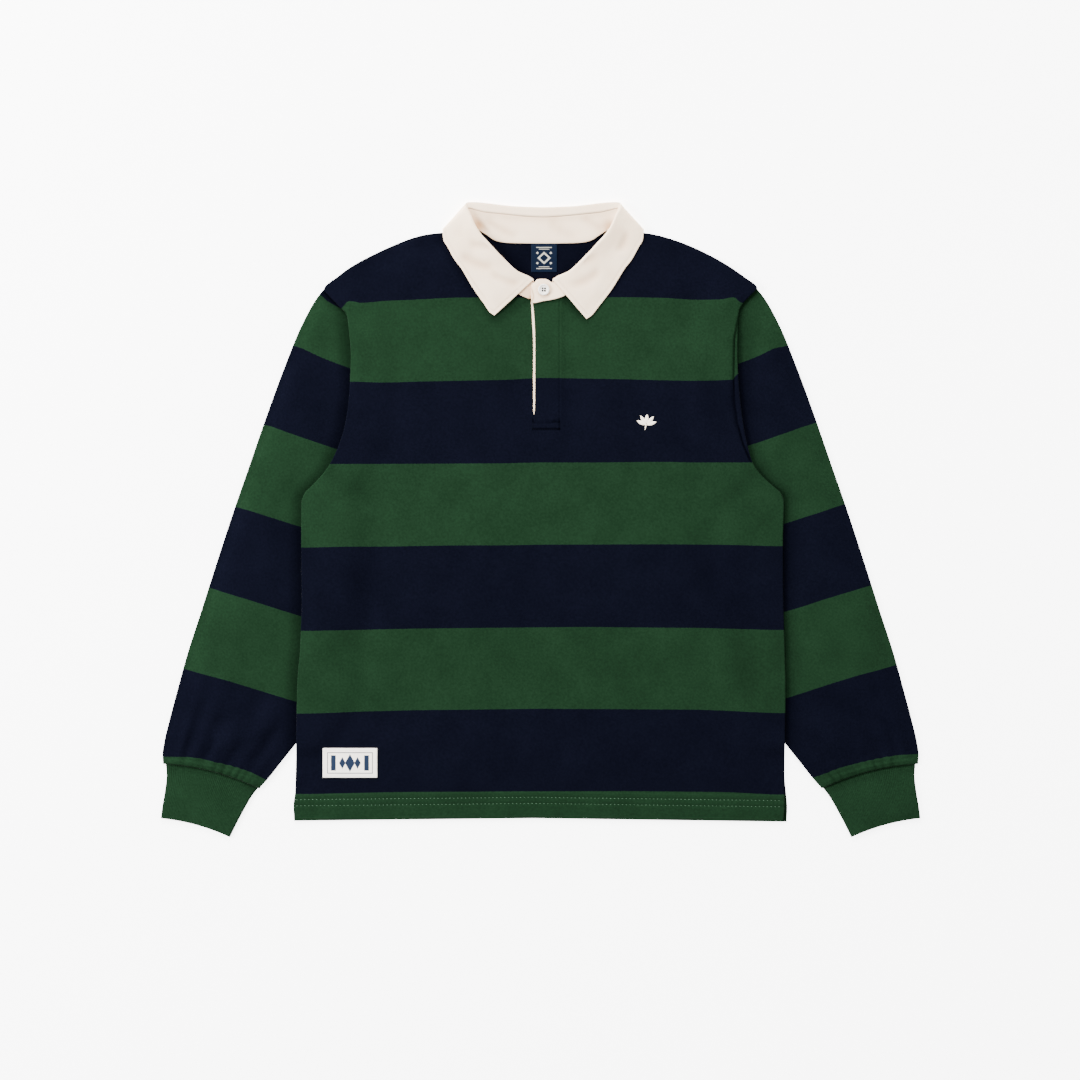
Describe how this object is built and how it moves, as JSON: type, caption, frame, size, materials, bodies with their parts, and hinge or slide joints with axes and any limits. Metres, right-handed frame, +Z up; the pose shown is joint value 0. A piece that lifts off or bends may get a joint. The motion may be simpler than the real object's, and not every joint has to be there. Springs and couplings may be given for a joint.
{
  "type": "rugby shirt",
  "caption": "Long-sleeved rugby shirt laid flat, green and navy block stripes, cream twill collar, buttoned neck and ribbed cuffs.",
  "frame": {"origin": "on the surface the shirt lies on, at the middle of its width across the cuffs and of its height from cuff ends to collar", "axes": "+X to the viewer's right across the shirt, +Y up the shirt towards the collar, +Z up from the surface it lies on, out of the front"},
  "size_m": [0.911, 0.7616, 0.0165],
  "materials": {
    "jersey": "matte",
    "jersey_navy": "matte",
    "rib": "matte",
    "twill": "matte",
    "satin": "satin",
    "woven_patch": "matte",
    "button": "glossy"
  },
  "bodies": {
    "root": {"back_panel": "jersey_navy", "front_panel": "jersey", "sleeve_left": "jersey", "sleeve_right": "jersey", "cuff_left": "rib", "cuff_right": "rib", "collar_stand": "twill", "collar_leaf": "twill", "placket_facing": "twill", "neck_label": "satin", "patch_label": "woven_patch", "button": "button"}
  },
  "joints": []
}
